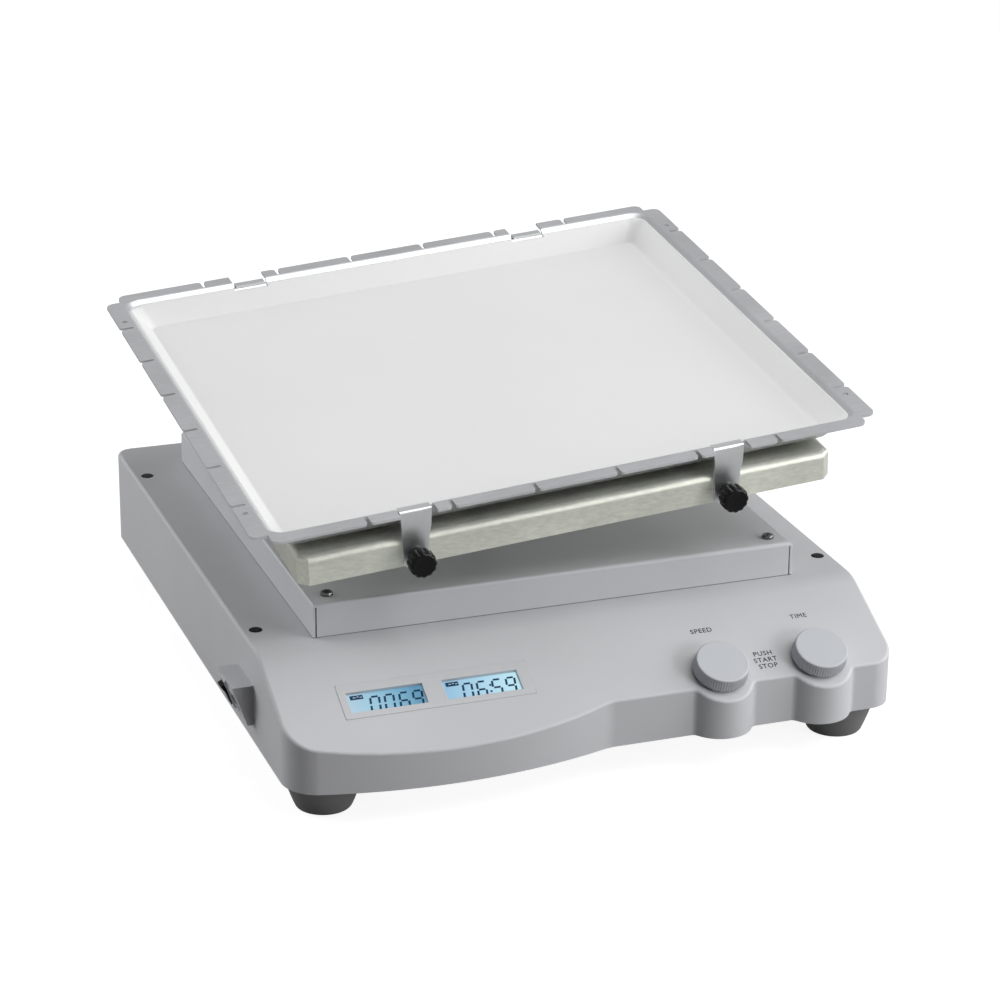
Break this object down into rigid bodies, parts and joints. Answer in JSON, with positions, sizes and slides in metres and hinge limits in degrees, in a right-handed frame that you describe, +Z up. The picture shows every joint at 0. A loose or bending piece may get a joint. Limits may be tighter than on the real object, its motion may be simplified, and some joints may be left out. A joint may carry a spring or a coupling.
{
  "type": "three-dimensional shaker",
  "caption": "Bench shaker with a moulded grey housing on rubber feet, sloping panel with displays and knobs, and a tilting tray clamped to a nutating deck.",
  "frame": {"origin": "middle of the whole shaker's footprint, on the bench", "axes": "+Z up, +Y towards the back, so the control panel faces -Y, +X to the right of someone who faces the panel"},
  "size_m": [0.3869, 0.4203, 0.2185],
  "materials": {
    "housing_plastic": "fine-grained moulded light grey",
    "cover_paint": "satin light grey paint on folded sheet",
    "foot_rubber": "dull dark grey rubber",
    "screw_steel": "bright plated steel",
    "black_plastic": "black moulded plastic",
    "knob_plastic": "light grey moulded plastic",
    "bezel_plastic": "grey bezel",
    "display_glass": "light blue backlit display",
    "board_laminate": "green circuit board",
    "plate_steel": "zinc-plated steel sheet",
    "machined_aluminium": "machined aluminium",
    "bearing_steel": "ground bearing steel",
    "crank_steel": "turned steel",
    "motor_shell": "black painted motor can",
    "belt_rubber": "black belt",
    "deck_steel": "brushed stainless sheet",
    "tray_aluminium": "bare bright sheet",
    "liner_white": "white liner",
    "mat_rubber": "black anti-slip mat",
    "thumb_plastic": "black fluted plastic",
    "clamp_steel": "stainless strip"
  },
  "bodies": {
    "housing": {"housing_shell": "housing_plastic", "base_plate": "plate_steel", "rubber_feet": "foot_rubber", "foot_screws": "screw_steel", "housing_screws": "screw_steel", "hole_plugs": "black_plastic", "top_cover": "cover_paint", "cover_standoffs": "machined_aluminium", "cover_screws": "screw_steel", "display_bezel": "bezel_plastic", "speed_display": "display_glass", "time_display": "display_glass", "control_board": "board_laminate", "board_screws": "screw_steel", "speed_encoder_body": "black_plastic", "time_encoder_body": "black_plastic", "switch_frame": "black_plastic", "power_inlet": "black_plastic", "power_board": "board_laminate", "board_standoffs": "machined_aluminium", "drive_plate": "plate_steel", "plate_pillars": "machined_aluminium", "pillar_screws": "screw_steel", "bearing_housing": "machined_aluminium", "turret_screws": "screw_steel", "lower_bearing": "bearing_steel", "upper_bearing": "bearing_steel", "shaft_seal": "belt_rubber", "motor_body": "motor_shell", "motor_screws": "screw_steel", "drive_belt": "belt_rubber", "guide_post": "crank_steel"},
    "crank": {"crank_shaft": "crank_steel", "journal_cap": "crank_steel", "crank_pulley": "machined_aluminium", "crank_nut": "screw_steel"},
    "platform": {"platform_deck": "deck_steel", "platform_hub": "machined_aluminium", "hub_bearings": "bearing_steel", "hub_screws": "screw_steel", "clamp_nuts": "screw_steel", "anti_slip_mat": "mat_rubber", "tray_pan": "tray_aluminium", "tray_liner": "liner_white", "guide_fork": "machined_aluminium"},
    "motor_rotor": {"motor_shaft": "crank_steel", "motor_pulley": "machined_aluminium"},
    "speed_encoder_rotor": {"speed_encoder_shaft": "machined_aluminium"},
    "speed_dial": {"speed_knob": "knob_plastic"},
    "time_encoder_rotor": {"time_encoder_shaft": "machined_aluminium"},
    "time_dial": {"time_knob": "knob_plastic"},
    "power_rocker": {"switch_rocker": "black_plastic"},
    "clamp_front_left": {"clamp_strap_front_left": "clamp_steel"},
    "thumb_screw_front_left": {"clamp_screw_front_left": "thumb_plastic"},
    "clamp_front_right": {"clamp_strap_front_right": "clamp_steel"},
    "thumb_screw_front_right": {"clamp_screw_front_right": "thumb_plastic"},
    "clamp_back_left": {"clamp_strap_back_left": "clamp_steel"},
    "thumb_screw_back_left": {"clamp_screw_back_left": "thumb_plastic"},
    "clamp_back_right": {"clamp_strap_back_right": "clamp_steel"},
    "thumb_screw_back_right": {"clamp_screw_back_right": "thumb_plastic"}
  },
  "joints": [
    {"name": "crank_spin", "type": "hinge", "parent": "housing", "child": "crank", "pos_m": [0.00538, 0.02265, 0.1], "axis": [0, 0, 1], "continuous": true},
    {"name": "platform_nutation", "type": "hinge", "parent": "crank", "child": "platform", "pos_m": [0.00538, 0.02265, 0.1512], "axis": [-0.0791, -0.1081, 0.991], "continuous": true},
    {"name": "motor_spin", "type": "hinge", "parent": "housing", "child": "motor_rotor", "pos_m": [-0.07962, 0.02265, 0.06], "axis": [0, 0, 1], "continuous": true},
    {"name": "speed_encoder_turn", "type": "hinge", "parent": "housing", "child": "speed_encoder_rotor", "pos_m": [0.08038, -0.18646, 0.05343], "axis": [0, -0.4305, 0.9026], "continuous": true},
    {"name": "speed_knob_push", "type": "slide", "parent": "speed_encoder_rotor", "child": "speed_dial", "axis": [0, 0.4305, -0.9026], "range_m": [0, 0.0008], "stiffness_N_per_m": 3000, "springref_m": -0.0006},
    {"name": "time_encoder_turn", "type": "hinge", "parent": "housing", "child": "time_encoder_rotor", "pos_m": [0.14258, -0.18646, 0.05343], "axis": [0, -0.4305, 0.9026], "continuous": true},
    {"name": "time_knob_push", "type": "slide", "parent": "time_encoder_rotor", "child": "time_dial", "axis": [0, 0.4305, -0.9026], "range_m": [0, 0.0008], "stiffness_N_per_m": 3000, "springref_m": -0.0006},
    {"name": "power_switch_rock", "type": "hinge", "parent": "housing", "child": "power_rocker", "pos_m": [-0.18586, -0.10115, 0.04436], "axis": [0, 1, 0], "range_deg": [0, 16]},
    {"name": "clamp_lift_front_left", "type": "slide", "parent": "platform", "child": "clamp_front_left", "axis": [-0.0791, -0.1081, 0.991], "range_m": [0, 0.004]},
    {"name": "thumb_screw_turn_front_left", "type": "hinge", "parent": "platform", "child": "thumb_screw_front_left", "pos_m": [-0.08724, -0.14724, 0.1289], "axis": [0.0139, -0.9941, -0.1074], "range_deg": [0, 360]},
    {"name": "clamp_lift_front_right", "type": "slide", "parent": "platform", "child": "clamp_front_right", "axis": [-0.0791, -0.1081, 0.991], "range_m": [0, 0.004]},
    {"name": "thumb_screw_turn_front_right", "type": "hinge", "parent": "platform", "child": "thumb_screw_front_right", "pos_m": [0.10215, -0.14624, 0.14413], "axis": [0.0139, -0.9941, -0.1074], "range_deg": [0, 360]},
    {"name": "clamp_lift_back_left", "type": "slide", "parent": "platform", "child": "clamp_back_left", "axis": [-0.0791, -0.1081, 0.991], "range_m": [0, 0.004]},
    {"name": "thumb_screw_turn_back_left", "type": "hinge", "parent": "platform", "child": "thumb_screw_back_left", "pos_m": [-0.09195, 0.19076, 0.1654], "axis": [-0.0139, 0.9941, 0.1074], "range_deg": [0, 360]},
    {"name": "clamp_lift_back_right", "type": "slide", "parent": "platform", "child": "clamp_back_right", "axis": [-0.0791, -0.1081, 0.991], "range_m": [0, 0.004]},
    {"name": "thumb_screw_turn_back_right", "type": "hinge", "parent": "platform", "child": "thumb_screw_back_right", "pos_m": [0.09743, 0.19176, 0.18063], "axis": [-0.0139, 0.9941, 0.1074], "range_deg": [0, 360]}
  ],
  "couplings": [
    {"joint": "platform_nutation", "follows": "crank_spin", "ratio": -1},
    {"joint": "motor_spin", "follows": "crank_spin", "ratio": 4}
  ]
}
